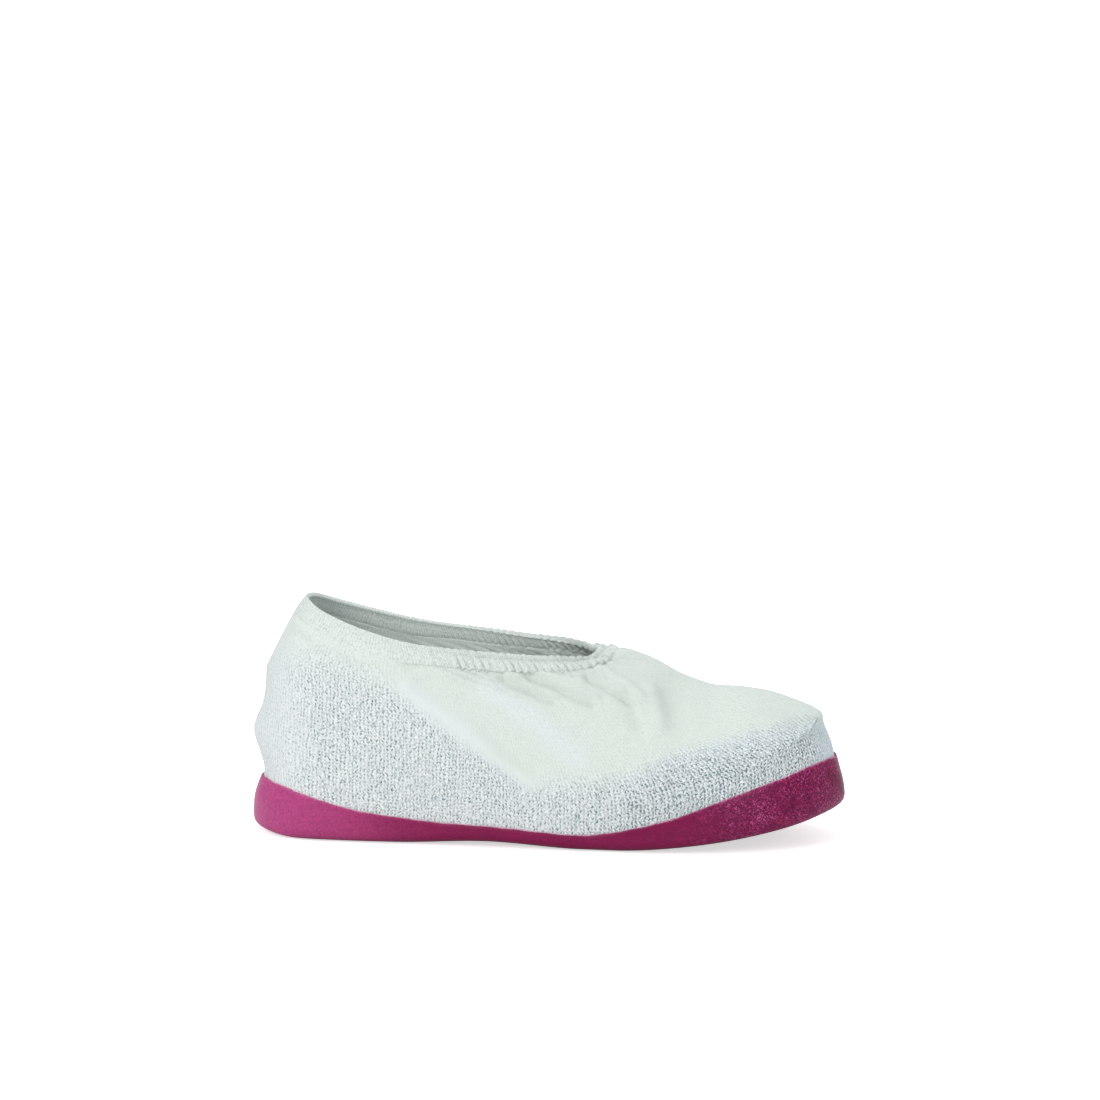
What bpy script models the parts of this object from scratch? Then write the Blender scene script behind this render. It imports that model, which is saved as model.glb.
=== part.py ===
"""Overshoe: a knitted slip-over upper with a gathered elastic hem and a dipped rubber sole.

Metres, +Z up. The toe points towards +X, and the outer side of this right-foot overshoe towards -Y.
The origin is on the floor, under the middle of the overshoe's box.
"""

import math
from collections import namedtuple

import bmesh
import bpy
from mathutils import Vector

# Outside sizes
LENGTH = 0.310
BALL_WIDTH = 0.106
HEEL_WIDTH = 0.079
HEEL_RIM_HEIGHT = 0.124
THROAT_HEIGHT = 0.098
SHOULDER_HEIGHT = 0.090
TOE_CAP_HEIGHT = 0.064
TOE_SPRING = 0.0176
TOE_CURVE = 1.6  # 1 lifts the toe in a straight line, and 2 in a parabola
BALL_LINE = 0.040  # from the middle of the length forwards to where the toe starts to lift
ARCH_RISE = 0.0020
ARCH_MIDDLE = -0.027  # from the middle of the length forwards
ARCH_LENGTH = 0.096

# Opening
OPENING_LENGTH = 0.150
OPENING_WIDTH = 0.068
HEEL_LEAN = 0.030  # the back of the rim lies this far forward of the heel

# Walls
FABRIC = 0.0018
SOLE_BOTTOM = 0.0030
SOLE_SIDE = 0.0016
SOLE_LIP = 0.0009
GAP = 0.0003

# Sole
DIP_HEIGHT = 0.042  # top of the rubber at the toe, above the floor
TREAD_INSET = 0.006  # from the outline in to the edge of the tread
EDGE_RISE = 0.0022  # height of the rounded edge between the tread and the side
TREAD_MARGIN = 0.0025
CELL_PITCH = 0.0069
CELL_DEPTH = 0.0009

# Hem
HEM_HEIGHT = 0.0105
HEM_BULGE = 0.0011
GATHER_DEPTH = 0.0008
GATHERS = 92

# Facets
COLUMNS = 66
DIP_TO_SHOULDER = 3
SHOULDER_TO_SEAM = 6

# One row for each section across the foot, from the heel to the toe. The lengths are shares:
# along, of half the length; outer and inner, of half the local width; inset_outer and inset_inner, of
# TREAD_INSET; dip, of DIP_HEIGHT; shoulder, of the way from the toe cap's height up to SHOULDER_HEIGHT;
# tuck, of the way from the outline in to the rim; rise and flat, of the crown's height and run;
# rim_along, of OPENING_LENGTH; rim_half, of half OPENING_WIDTH; rim_rise, of the way from THROAT_HEIGHT
# up to HEEL_RIM_HEIGHT.
Station = namedtuple(
    "Station",
    "along outer inner inset_outer inset_inner dip shoulder tuck rise flat rim_along rim_half rim_rise",
)
FORM = (
    Station(-1.000, 0.00, 0.00, 1.0, 1.0, 0.68, 0.85, 0.20, 0.10, 0.10, 0.000, 0.00, 1.00),
    Station(-0.961, 0.48, 0.48, 1.0, 1.0, 0.68, 0.90, 0.20, 0.12, 0.12, 0.020, 0.38, 0.95),
    Station(-0.850, 0.86, 0.84, 1.0, 1.0, 0.58, 1.00, 0.18, 0.20, 0.15, 0.085, 0.70, 0.76),
    Station(-0.645, 1.00, 0.96, 1.0, 1.2, 0.37, 0.98, 0.10, 0.30, 0.20, 0.222, 0.92, 0.48),
    Station(-0.387, 1.01, 0.92, 1.1, 1.9, 0.25, 0.35, -0.20, 0.30, 0.30, 0.392, 1.00, 0.22),
    Station(-0.116, 1.00, 0.86, 1.1, 2.2, 0.21, -0.80, 0.00, 0.20, 0.20, 0.575, 0.97, 0.09),
    Station(0.155, 0.99, 0.91, 1.0, 1.6, 0.17, -1.45, 0.00, 0.15, 0.15, 0.745, 0.84, 0.03),
    Station(0.413, 1.00, 0.98, 1.0, 1.0, 0.33, -1.38, 0.01, 0.12, 0.12, 0.869, 0.63, 0.02),
    Station(0.645, 0.94, 0.97, 1.0, 1.0, 0.65, -0.96, 0.02, 0.10, 0.12, 0.935, 0.43, 0.01),
    Station(0.839, 0.71, 0.77, 1.0, 1.0, 0.88, -0.46, 0.04, 0.10, 0.15, 0.974, 0.25, 0.00),
    Station(0.961, 0.33, 0.40, 1.0, 1.0, 1.00, -0.12, 0.07, 0.12, 0.20, 0.994, 0.12, 0.00),
    Station(1.000, 0.00, 0.00, 1.0, 1.0, 0.99, 0.00, 0.09, 0.12, 0.20, 1.000, 0.00, 0.00),
)

# One row for each dent (negative) or ridge (positive), as the side shows it. side is -1 for the outer
# side, 1 for the inner side and 0 for both; from_x and to_x are shares of half the length, from_z and
# to_z of THROAT_HEIGHT, width and depth of FOLD_DEPTH.
FOLD_DEPTH = 0.004
FOLD_BLEND = 0.020  # across the middle of the foot, where a fold of one side dies away
Fold = namedtuple("Fold", "side from_x from_z to_x to_z width depth")
FOLDS = (
    Fold(0, -1.00, 0.30, -0.98, 0.34, 2.2, -0.45),
    Fold(0, -1.00, 0.54, -0.98, 0.54, 2.8, 0.95),
    Fold(0, 0.48, 0.80, 0.54, 0.80, 4.6, -1.90),
    Fold(-1, -0.54, 0.90, 0.04, 0.24, 2.0, 0.45),
    Fold(-1, -0.34, 0.88, 0.14, 0.48, 3.4, -0.55),
    Fold(-1, -0.14, 0.88, 0.08, 0.78, 1.1, -0.35),
    Fold(-1, 0.04, 0.89, 0.16, 0.79, 1.1, -0.35),
    Fold(-1, 0.21, 0.80, 0.32, 0.71, 1.2, -0.35),
    Fold(-1, 0.84, 0.62, 0.96, 0.54, 2.0, -0.60),
    Fold(1, -0.50, 0.88, 0.02, 0.26, 2.2, 0.35),
    Fold(1, 0.00, 0.88, 0.14, 0.78, 1.2, -0.30),
)

# The hem's section, from the seam up: level is a share of its height, bulge of HEM_BULGE and gather of
# GATHER_DEPTH.
HemPoint = namedtuple("HemPoint", "level bulge gather")
HEM_OUTSIDE = (
    HemPoint(0.00, 0.3, 0.6),
    HemPoint(0.30, 1.2, 1.0),
    HemPoint(0.58, 0.3, 0.4),
    HemPoint(0.86, 1.0, 0.8),
)
HEM_INSIDE = (
    HemPoint(0.86, 0.4, 0.0),
    HemPoint(0.00, 0.4, 0.0),
)
HEEL_GATHER = 0.25  # share of the gathers' depth that is left round the heel
GATHER_FADE = 0.30  # share of the way round over which it comes back

# The surface's levels, from the keel under the foot up to the rim
KEEL, EDGE, SIDE, CROWN, RIM = range(5)
BOTTOM_LEVELS = (KEEL, 0.4, 0.8, EDGE, 1.5, SIDE)
KEEL_SHARE = 0.80  # the keel's length, of the foot's
LOWEST_DIP = 0.015  # level above SIDE that the top of the rubber keeps
HEEL_END, BALL_START = -0.65, 0.41  # shares of half the length between which the width grows
SEAM_STEPS = 60
STEP = 1e-3

BODY_LENGTH = LENGTH - 2 * (SOLE_SIDE + GAP)


def smooth(share):
    """Eases from 0 to 1."""
    share = min(1.0, max(0.0, share))
    return share * share * (3 - 2 * share)


def mix(a, b, share):
    return a + (b - a) * share


def lift(x):
    """Height of the tread's plane above the floor, under the arch and the toe."""
    arch = ARCH_RISE * smooth(1 - abs(x - ARCH_MIDDLE) / (ARCH_LENGTH / 2))
    toe = TOE_SPRING * max(0.0, (x - BALL_LINE) / (LENGTH / 2 - BALL_LINE)) ** TOE_CURVE
    return arch + toe


def half_width(along):
    """Half the body's width, from the heel's to the ball's."""
    share = smooth((along - HEEL_END) / (BALL_START - HEEL_END))
    return mix(HEEL_WIDTH / 2, BALL_WIDTH / 2, share) - SOLE_SIDE - GAP


Column = namedtuple("Column", "x y inset dip shoulder tuck rise flat rim_x rim_y rim_z")


def station_column(row, side):
    """The real sizes of one station on one side of the foot, -1 outer and 1 inner."""
    outer = side < 0
    return Column(
        x=row.along * BODY_LENGTH / 2,
        y=side * half_width(row.along) * (row.outer if outer else row.inner),
        inset=TREAD_INSET * (row.inset_outer if outer else row.inset_inner),
        dip=DIP_HEIGHT * row.dip,
        shoulder=mix(TOE_CAP_HEIGHT, SHOULDER_HEIGHT, row.shoulder),
        tuck=row.tuck,
        rise=row.rise,
        flat=row.flat,
        rim_x=-LENGTH / 2 + HEEL_LEAN + OPENING_LENGTH * row.rim_along,
        rim_y=side * OPENING_WIDTH / 2 * row.rim_half,
        rim_z=mix(THROAT_HEIGHT, HEEL_RIM_HEIGHT, row.rim_rise),
    )


STATIONS = [station_column(row, -1) for row in FORM]
STATIONS += [station_column(row, 1) for row in FORM[-2:0:-1]]


def column(u):
    """The sizes at share u of the way round: heel, outer side, toe, inner side."""
    place = (u % 1.0) * len(STATIONS)
    first = int(place)
    t = place - first
    a, b, c, d = (STATIONS[(first + k) % len(STATIONS)] for k in (-1, 0, 1, 2))
    return Column(
        *(
            0.5 * (2 * q + (r - p) * t + (2 * p - 5 * q + 4 * r - s) * t**2 + (3 * q - p - 3 * r + s) * t**3)
            for p, q, r, s in zip(a, b, c, d)
        )
    )


def plan_normal(u):
    """Points away from the foot, square to the outline, in plan."""
    before, after = column(u - STEP), column(u + STEP)
    return Vector((after.y - before.y, before.x - after.x)).normalized()


def wall_foot(c):
    """Height at which the side wall starts, above the rounded edge."""
    return lift(c.x) + SOLE_BOTTOM + GAP + EDGE_RISE


def dip_level(c):
    """The level at which the side wall meets the top of the rubber."""
    foot = wall_foot(c)
    return SIDE + max(LOWEST_DIP, (c.dip - foot) / (c.shoulder - foot))


def surface(u, level):
    """A point of the upper's outside, before its folds: u goes round, level from the keel up to the rim."""
    c = column(u)
    base = Vector((c.x, c.y))
    if level < SIDE:
        edge = base - plan_normal(u) * c.inset
        if level <= EDGE:
            other = column(1 - u)
            keel = Vector((c.x + other.x, c.y + other.y)) / 2 * KEEL_SHARE
            plan = keel.lerp(edge, level)
            return Vector((*plan, lift(plan.x) + SOLE_BOTTOM + GAP))
        angle = (level - EDGE) * math.pi / 2
        plan = edge.lerp(base, math.sin(angle))
        floor = lift(plan.x) + SOLE_BOTTOM + GAP
        return Vector((*plan, floor + EDGE_RISE * (1 - math.cos(angle))))
    if level < CROWN:
        t = level - SIDE
        share, z = c.tuck * smooth(t), mix(wall_foot(c), c.shoulder, t)
    else:
        t = level - CROWN
        keep = 1 - t
        share = mix(c.tuck, 1.0, 3 * keep * t * t * (1 - c.flat) + t**3)
        z = mix(c.shoulder, c.rim_z, 3 * keep * keep * t * c.rise + 3 * keep * t * t + t**3)
    plan = base.lerp(Vector((c.rim_x, c.rim_y)), share)
    return Vector((*plan, z))


def normal(u, level):
    """Outward normal of the surface."""
    low, high = max(KEEL, level - STEP), min(RIM, level + STEP)
    around = surface(u + STEP, level) - surface(u - STEP, level)
    return around.cross(surface(u, high) - surface(u, low)).normalized()


def fold_height(point):
    """How far the folds push a point of the surface outwards."""
    height = 0.0
    for fold in FOLDS:
        start = Vector((fold.from_x * LENGTH / 2, fold.from_z * THROAT_HEIGHT))
        run = Vector((fold.to_x * LENGTH / 2, fold.to_z * THROAT_HEIGHT)) - start
        seen = Vector((point.x, point.z)) - start
        share = min(1.0, max(0.0, seen.dot(run) / run.length_squared))
        distance = (seen - run * share).length / (fold.width * FOLD_DEPTH)
        here = smooth(0.5 + fold.side * point.y / FOLD_BLEND) if fold.side else 1.0
        height += fold.depth * FOLD_DEPTH * math.exp(-distance * distance) * here
    return height


def skin_point(u, level, offset=0.0):
    """A point on the folded upper, or offset outwards from it."""
    point = surface(u, level)
    if level <= EDGE:
        return point - Vector((0.0, 0.0, offset))
    return point + normal(u, level) * (fold_height(point) + offset)


def seam_level(u, below_rim):
    """The level that lies this far down the surface from the rim."""
    gone, last = 0.0, surface(u, RIM)
    for k in range(1, SEAM_STEPS + 1):
        here = surface(u, RIM - k / SEAM_STEPS)
        stretch = (here - last).length
        if gone + stretch >= below_rim:
            return RIM - (k - 1 + (below_rim - gone) / stretch) / SEAM_STEPS
        gone, last = gone + stretch, here
    return CROWN


def upper_levels(u):
    """The levels of the upper's rings at share u of the way round."""
    dip, seam = dip_level(column(u)), seam_level(u, HEM_HEIGHT + GAP)
    levels = [*BOTTOM_LEVELS, dip]
    levels += [mix(dip, CROWN, k / DIP_TO_SHOULDER) for k in range(1, DIP_TO_SHOULDER + 1)]
    levels += [mix(CROWN, seam, k / SHOULDER_TO_SEAM) for k in range(1, SHOULDER_TO_SEAM + 1)]
    return levels


def round_us(count):
    """Even shares of the way round."""
    return [k / count for k in range(count)]


def ring(us, levels, offset=0.0):
    """One ring of points on the folded upper, or offset outwards from it."""
    return [skin_point(u, level, offset) for u, level in zip(us, levels)]


def add_rings(bm, rings):
    """Joins each ring of points to the next with triangles, and returns the rings' vertices."""
    verts = [[bm.verts.new(point) for point in points] for points in rings]
    for low, high in zip(verts, verts[1:]):
        for k in range(len(low)):
            n = (k + 1) % len(low)
            bm.faces.new((low[k], low[n], high[n]))
            bm.faces.new((low[k], high[n], high[k]))
    return verts


def drop_flat_faces(bm):
    """Merges the points that meet on the keel, with the faces that this closes up."""
    bmesh.ops.remove_doubles(bm, verts=bm.verts, dist=1e-6)
    bmesh.ops.dissolve_degenerate(bm, edges=bm.edges, dist=1e-7)


def material(name, colour, roughness):
    made = bpy.data.materials.new(name)
    made.use_nodes = True
    shader = made.node_tree.nodes["Principled BSDF"]
    shader.inputs["Base Color"].default_value = (*colour, 1.0)
    shader.inputs["Roughness"].default_value = roughness
    return made


def finish(bm, name, surface_material):
    """Makes the object of a piece."""
    bmesh.ops.recalc_face_normals(bm, faces=bm.faces)
    mesh = bpy.data.meshes.new(name)
    bm.to_mesh(mesh)
    bm.free()
    mesh.shade_smooth()
    mesh.materials.append(surface_material)
    made = bpy.data.objects.new(name, mesh)
    bpy.context.scene.collection.objects.link(made)
    return made


def upper():
    """The knitted sock, from its bottom up to the hem's seam, one fabric thick."""
    us = round_us(COLUMNS)
    rows = list(zip(*[upper_levels(u) for u in us]))
    outer = [ring(us, row) for row in rows]
    inner = [ring(us, row, -FABRIC) for row in reversed(rows)]
    bm = bmesh.new()
    add_rings(bm, outer + inner)
    drop_flat_faces(bm)
    return finish(bm, "upper", material("knit", (0.78, 0.83, 0.80), 0.9))


def gather(u):
    """How deep the gathers are: full in front of the ankle and slight round the heel."""
    return mix(HEEL_GATHER, 1.0, smooth((0.5 - abs(u - 0.5)) / GATHER_FADE))


def hem_point(u, fold, point, lining):
    """A point on the hem's section. fold is 1 on a gather and -1 in a valley."""
    seam = seam_level(u, HEM_HEIGHT)
    level = mix(seam, RIM, point.level)
    offset = HEM_BULGE * point.bulge + GATHER_DEPTH * point.gather * fold * gather(u)
    return skin_point(u, level, -FABRIC - offset if lining else offset)


def elastic_hem():
    """The folded casing round the opening, gathered by the elastic that it hides."""
    count = 2 * GATHERS
    us = round_us(count)
    folds = [1 if k % 2 else -1 for k in range(count)]
    rings = [[hem_point(u, fold, point, False) for u, fold in zip(us, folds)] for point in HEM_OUTSIDE]
    rings += [[hem_point(u, fold, point, True) for u, fold in zip(us, folds)] for point in HEM_INSIDE]
    bm = bmesh.new()
    add_rings(bm, rings + rings[:1])
    drop_flat_faces(bm)
    return finish(bm, "elastic_hem", material("hem_fabric", (0.80, 0.84, 0.80), 0.9))


def inside(point, outline):
    """Whether a point lies in a closed outline, in plan."""
    found = False
    for a, b in zip(outline, outline[1:] + outline[:1]):
        if (a.y > point.y) != (b.y > point.y):
            if point.x < a.x + (point.y - a.y) / (b.y - a.y) * (b.x - a.x):
                found = not found
    return found


def tread_edge(u, margin=0.0):
    """A point on the edge of the tread, or margin inside it."""
    plan = surface(u, EDGE).xy - plan_normal(u) * margin
    return Vector((plan.x, plan.y, lift(plan.x)))


def tread_cells(us):
    """Centres of the whole honeycomb cells that fit inside the tread's margin."""
    outline = [tread_edge(u, TREAD_MARGIN) for u in us]
    row_pitch = CELL_PITCH * math.sqrt(3) / 2
    rows = int(LENGTH / 2 / row_pitch)
    across = int(BALL_WIDTH / 2 / CELL_PITCH) + 1
    for row in range(-rows, rows + 1):
        for k in range(-across, across + 1):
            centre = Vector((row * row_pitch, (k + row % 2 / 2) * CELL_PITCH, 0.0))
            if all(inside(centre + corner, outline) for corner in cell_corners()):
                yield centre


def cell_corners():
    radius = CELL_PITCH / math.sqrt(3)
    return [
        Vector((radius * math.cos(k * math.pi / 3), radius * math.sin(k * math.pi / 3), 0.0))
        for k in range(6)
    ]


def add_tread(bm, edge, us):
    """The underside, within its edge: a raised honeycomb, each cell sunk to its middle, in a plain margin."""
    pits, cells = [], []
    for centre in tread_cells(us):
        corners = [bm.verts.new(centre + corner) for corner in cell_corners()]
        pit = bm.verts.new(centre)
        pits.append(pit)
        cells += [*corners, pit]
        for k in range(6):
            bm.faces.new((corners[k], pit, corners[(k + 1) % 6]))
    bmesh.ops.remove_doubles(bm, verts=cells, dist=1e-5)
    cells = [v for v in cells if v.is_valid]
    border = {e for v in cells for e in v.link_edges if len(e.link_faces) == 1}
    lifted = [(v, v.co.z) for v in edge]
    for v, _ in lifted:
        v.co.z = 0.0
    outline = [bm.edges.get((a, b)) for a, b in zip(edge, edge[1:] + edge[:1])]
    bmesh.ops.triangle_fill(bm, edges=list(border) + outline, use_beauty=True, use_dissolve=False)
    for v, z in lifted:
        v.co.z = z
    for v in cells:
        v.co.z = lift(v.co.x) + (CELL_DEPTH if v in pits else 0.0)


def sole():
    """The rubber that the sock is dipped in: a thin wall up to the dip line, and a thick tread."""
    us = round_us(COLUMNS)
    flat = [[level] * COLUMNS for level in BOTTOM_LEVELS]
    dips = [dip_level(column(u)) for u in us]
    half_way = [mix(SIDE, dip, 0.5) for dip in dips]
    rings = [ring(us, levels, GAP) for levels in [*flat, dips]]
    rings.append(ring(us, dips, GAP + SOLE_LIP))
    rings.append(ring(us, half_way, GAP + SOLE_SIDE))
    rings.append(ring(us, flat[-1], GAP + SOLE_SIDE))
    rings.append(ring(us, flat[-2], GAP + mix(SOLE_SIDE, SOLE_BOTTOM, 0.5)))
    rings.append([tread_edge(u) for u in us])
    bm = bmesh.new()
    verts = add_rings(bm, rings)
    add_tread(bm, verts[-1], us)
    drop_flat_faces(bm)
    return finish(bm, "sole", material("rubber", (0.36, 0.03, 0.10), 0.45))


def stand_on_floor(pieces):
    """Moves the overshoe so that its box stands on the floor with its middle at the origin."""
    graph = bpy.context.evaluated_depsgraph_get()
    points = [v.co for piece in pieces for v in piece.evaluated_get(graph).data.vertices]
    low = Vector(map(min, *points))
    high = Vector(map(max, *points))
    shift = Vector(((low.x + high.x) / 2, (low.y + high.y) / 2, low.z))
    for piece in pieces:
        piece.location = -shift


def build():
    for old in list(bpy.data.objects):
        bpy.data.objects.remove(old, do_unlink=True)
    stand_on_floor([sole(), upper(), elastic_hem()])


build()
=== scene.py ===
import math

import bmesh
import bpy
import numpy as np
from mathutils import Matrix, Vector


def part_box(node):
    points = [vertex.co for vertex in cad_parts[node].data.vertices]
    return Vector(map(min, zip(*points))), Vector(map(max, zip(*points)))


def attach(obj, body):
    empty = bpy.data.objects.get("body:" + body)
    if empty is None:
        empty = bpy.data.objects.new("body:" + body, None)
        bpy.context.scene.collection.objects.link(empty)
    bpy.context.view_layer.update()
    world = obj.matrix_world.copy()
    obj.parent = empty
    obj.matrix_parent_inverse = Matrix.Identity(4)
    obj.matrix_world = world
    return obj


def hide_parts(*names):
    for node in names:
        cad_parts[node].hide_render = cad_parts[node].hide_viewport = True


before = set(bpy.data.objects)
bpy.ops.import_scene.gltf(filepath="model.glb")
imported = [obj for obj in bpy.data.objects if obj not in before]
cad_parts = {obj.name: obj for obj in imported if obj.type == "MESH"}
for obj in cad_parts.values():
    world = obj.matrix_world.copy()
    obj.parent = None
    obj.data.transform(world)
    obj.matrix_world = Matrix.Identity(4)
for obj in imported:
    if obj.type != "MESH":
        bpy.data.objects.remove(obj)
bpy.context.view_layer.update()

mm = 0.001
scene = bpy.context.scene
print("overshoe: frame loaded")

# The overshoe's own sizes, with one row for each section across the foot, from heel to toe:
# along, outer, inner, insetOuter, insetInner, dip, shoulder, tuck, rise, flat, rimAlong, rimHalf, rimRise
formSettings = {
    "length": 310 * mm,
    "ballWidth": 106 * mm,
    "heelWidth": 79 * mm,
    "rimHeight": 124 * mm,  # at the heel
    "throatHeight": 98 * mm,
    "shoulderHeight": 90 * mm,
    "toeCapHeight": 64 * mm,
    "toeSpring": 17.6 * mm,
    "toeCurve": 1.6,
    "heelSpring": 2.2 * mm,
    "heelSpringFrom": -128 * mm,
    "rimTilt": (-0.6 * mm, 2.6 * mm),  # how far the middle of the opening's outer and inner side is raised
    # Depth, height above the floor and half height, then where along the foot it starts and how far it takes
    "heelTuck": (2.8 * mm, 31 * mm, 9 * mm, -120 * mm, -30 * mm),
    "toePush": (4.0 * mm, 52.5 * mm, 11 * mm, 125 * mm, 25 * mm),
    "ballLine": 40 * mm,
    "archRise": 2.0 * mm,
    "archMiddle": -27 * mm,
    "archLength": 96 * mm,
    "openingLength": 150 * mm,
    "openingWidth": 68 * mm,
    "heelLean": 30 * mm,
    "rubberSide": 1.6 * mm,
    "rubberBottom": 3.0 * mm,
    "gap": 0.3 * mm,
    "dipHeight": 42 * mm,
    "treadInset": 6 * mm,
    "edgeRise": 2.2 * mm,  # of the rounded edge under the side
    "heelEnd": -0.65,  # shares of half the length between which the foot gets wider
    "ballStart": 0.41,
    "keelShare": 0.80,  # length of the middle line under the foot, of the foot's
    "lowestDip": 0.015,  # level that the top of the rubber keeps above the side's
    "sections": (
        (-1.000, 0.00, 0.00, 1.0, 1.0, 0.68, 0.85, 0.20, 0.10, 0.10, 0.000, 0.00, 1.00),
        (-0.961, 0.48, 0.48, 1.0, 1.0, 0.68, 0.90, 0.20, 0.12, 0.12, 0.020, 0.38, 0.95),
        (-0.850, 0.86, 0.84, 1.0, 1.0, 0.62, 1.00, 0.18, 0.20, 0.15, 0.085, 0.70, 0.76),
        (-0.645, 1.00, 0.96, 1.0, 1.2, 0.42, 0.98, 0.10, 0.30, 0.20, 0.222, 0.92, 0.48),
        (-0.387, 1.01, 0.92, 1.1, 1.9, 0.30, 0.35, -0.20, 0.30, 0.30, 0.392, 1.00, 0.22),
        (-0.116, 1.00, 0.86, 1.1, 2.2, 0.25, -0.80, 0.00, 0.20, 0.20, 0.575, 0.97, 0.09),
        (0.155, 0.99, 0.91, 1.0, 1.6, 0.20, -1.45, 0.00, 0.15, 0.15, 0.745, 0.90, 0.00),
        (0.413, 1.00, 0.98, 1.0, 1.0, 0.39, -1.38, 0.01, 0.12, 0.12, 0.869, 0.86, -0.05),
        (0.645, 0.94, 0.97, 1.0, 1.0, 0.69, -0.96, 0.02, 0.10, 0.12, 0.935, 0.74, -0.10),
        (0.839, 0.71, 0.77, 1.0, 1.0, 0.91, -0.46, 0.04, 0.10, 0.15, 0.974, 0.52, -0.14),
        (0.961, 0.33, 0.40, 1.0, 1.0, 1.02, -0.12, 0.07, 0.12, 0.20, 0.994, 0.27, -0.09),
        (1.000, 0.00, 0.00, 1.0, 1.0, 1.01, 0.00, 0.09, 0.12, 0.20, 1.000, 0.00, -0.05),
    ),
}
keel, edge, side, crown, rim = range(5)  # the form's levels, from under the foot to the opening
columns = ("x", "y", "inset", "dip", "shoulder", "tuck", "rise", "flat", "rimX", "rimY", "rimZ")
nudge = 1e-3  # step along the form by which its slopes are taken


def smooth(share):
    share = np.clip(share, 0.0, 1.0)
    return share * share * (3 - 2 * share)


def mix(a, b, share):
    return a + (b - a) * share


def lift(x):  # the tread's plane above the floor
    s = formSettings
    arch = s["archRise"] * smooth(1 - np.abs(x - s["archMiddle"]) / (s["archLength"] / 2))
    ahead = np.maximum(0.0, (x - s["ballLine"]) / (s["length"] / 2 - s["ballLine"]))
    behind = np.maximum(0.0, (s["heelSpringFrom"] - x) / (s["length"] / 2 + s["heelSpringFrom"]))
    return arch + s["toeSpring"] * ahead ** s["toeCurve"] + s["heelSpring"] * behind ** s["toeCurve"]


def sectionRow(row, hand):  # hand is -1 on the outer side and 1 on the inner one
    s = formSettings
    along, outer, inner, insetOuter, insetInner, dip, shoulder = row[:7]
    halfLength = s["length"] / 2 - s["rubberSide"] - s["gap"]
    swell = smooth((along - s["heelEnd"]) / (s["ballStart"] - s["heelEnd"]))
    halfWidth = mix(s["heelWidth"] / 2, s["ballWidth"] / 2, swell) - s["rubberSide"] - s["gap"]
    tilt = s["rimTilt"][hand > 0]
    return (
        along * halfLength,
        hand * halfWidth * (outer if hand < 0 else inner),
        s["treadInset"] * (insetOuter if hand < 0 else insetInner),
        s["dipHeight"] * dip,
        mix(s["toeCapHeight"], s["shoulderHeight"], shoulder),
        *row[7:10],
        -s["length"] / 2 + s["heelLean"] + s["openingLength"] * row[10],
        hand * s["openingWidth"] / 2 * row[11],
        mix(s["throatHeight"], s["rimHeight"], row[12]) + tilt * math.sin(math.pi * row[10]),
    )


sections = formSettings["sections"]
outerRows = [sectionRow(row, -1) for row in sections]
innerRows = [sectionRow(row, 1) for row in sections[-2:0:-1]]
loopRows = np.array(outerRows + innerRows)


def column(u):  # the form's sizes at share u of the way round: heel, outer side, toe, inner side
    place = (np.asarray(u, float) % 1.0) * len(loopRows)
    first = np.floor(place).astype(int)
    t = (place - first)[..., None]
    a, b, c, d = (loopRows[(first + k) % len(loopRows)] for k in (-1, 0, 1, 2))
    made = 0.5 * (2 * b + (c - a) * t + (2 * a - 5 * b + 4 * c - d) * t**2 + (3 * b - a - 3 * c + d) * t**3)
    return dict(zip(columns, np.moveaxis(made, -1, 0)))


def planNormal(u):
    before, after = column(u - nudge), column(u + nudge)
    x, y = after["y"] - before["y"], before["x"] - after["x"]
    size = np.hypot(x, y)
    return x / size, y / size


def dipLevel(u):
    s, c = formSettings, column(u)
    foot = lift(c["x"]) + s["rubberBottom"] + s["gap"] + s["edgeRise"]
    return side + np.maximum(s["lowestDip"], (c["dip"] - foot) / (c["shoulder"] - foot))


def surface(u, level):  # the knit's smooth form
    s = formSettings
    u, level = np.broadcast_arrays(np.asarray(u, float), np.asarray(level, float))
    c = column(u)
    x, y = c["x"], c["y"]
    nx, ny = planNormal(u)
    foot = lift(x) + s["rubberBottom"] + s["gap"] + s["edgeRise"]
    edgeX, edgeY = x - nx * c["inset"], y - ny * c["inset"]
    other = column(1 - u)
    keelX, keelY = (x + other["x"]) / 2 * s["keelShare"], (y + other["y"]) / 2 * s["keelShare"]
    t = np.clip(level, keel, edge)
    bottomX, bottomY = mix(keelX, edgeX, t), mix(keelY, edgeY, t)
    turn = np.clip(level - edge, 0, 1) * math.pi / 2
    bottomX, bottomY = mix(bottomX, x, np.sin(turn)), mix(bottomY, y, np.sin(turn))
    bottomZ = lift(bottomX) + s["rubberBottom"] + s["gap"] + s["edgeRise"] * (1 - np.cos(turn))
    t = np.clip(level - side, 0, 1)
    wallShare, wallZ = c["tuck"] * smooth(t), mix(foot, c["shoulder"], t)
    t = np.clip(level - crown, 0, 1)
    keep = 1 - t
    crownShare = mix(c["tuck"], 1.0, 3 * keep * t * t * (1 - c["flat"]) + t**3)
    crownZ = mix(c["shoulder"], c["rimZ"], 3 * keep * keep * t * c["rise"] + 3 * keep * t * t + t**3)
    share = np.where(level < crown, wallShare, crownShare)
    low = level < side
    return np.stack(
        (
            np.where(low, bottomX, mix(x, c["rimX"], share)),
            np.where(low, bottomY, mix(y, c["rimY"], share)),
            np.where(low, bottomZ, np.where(level < crown, wallZ, crownZ)),
        ),
        axis=-1,
    )


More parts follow.
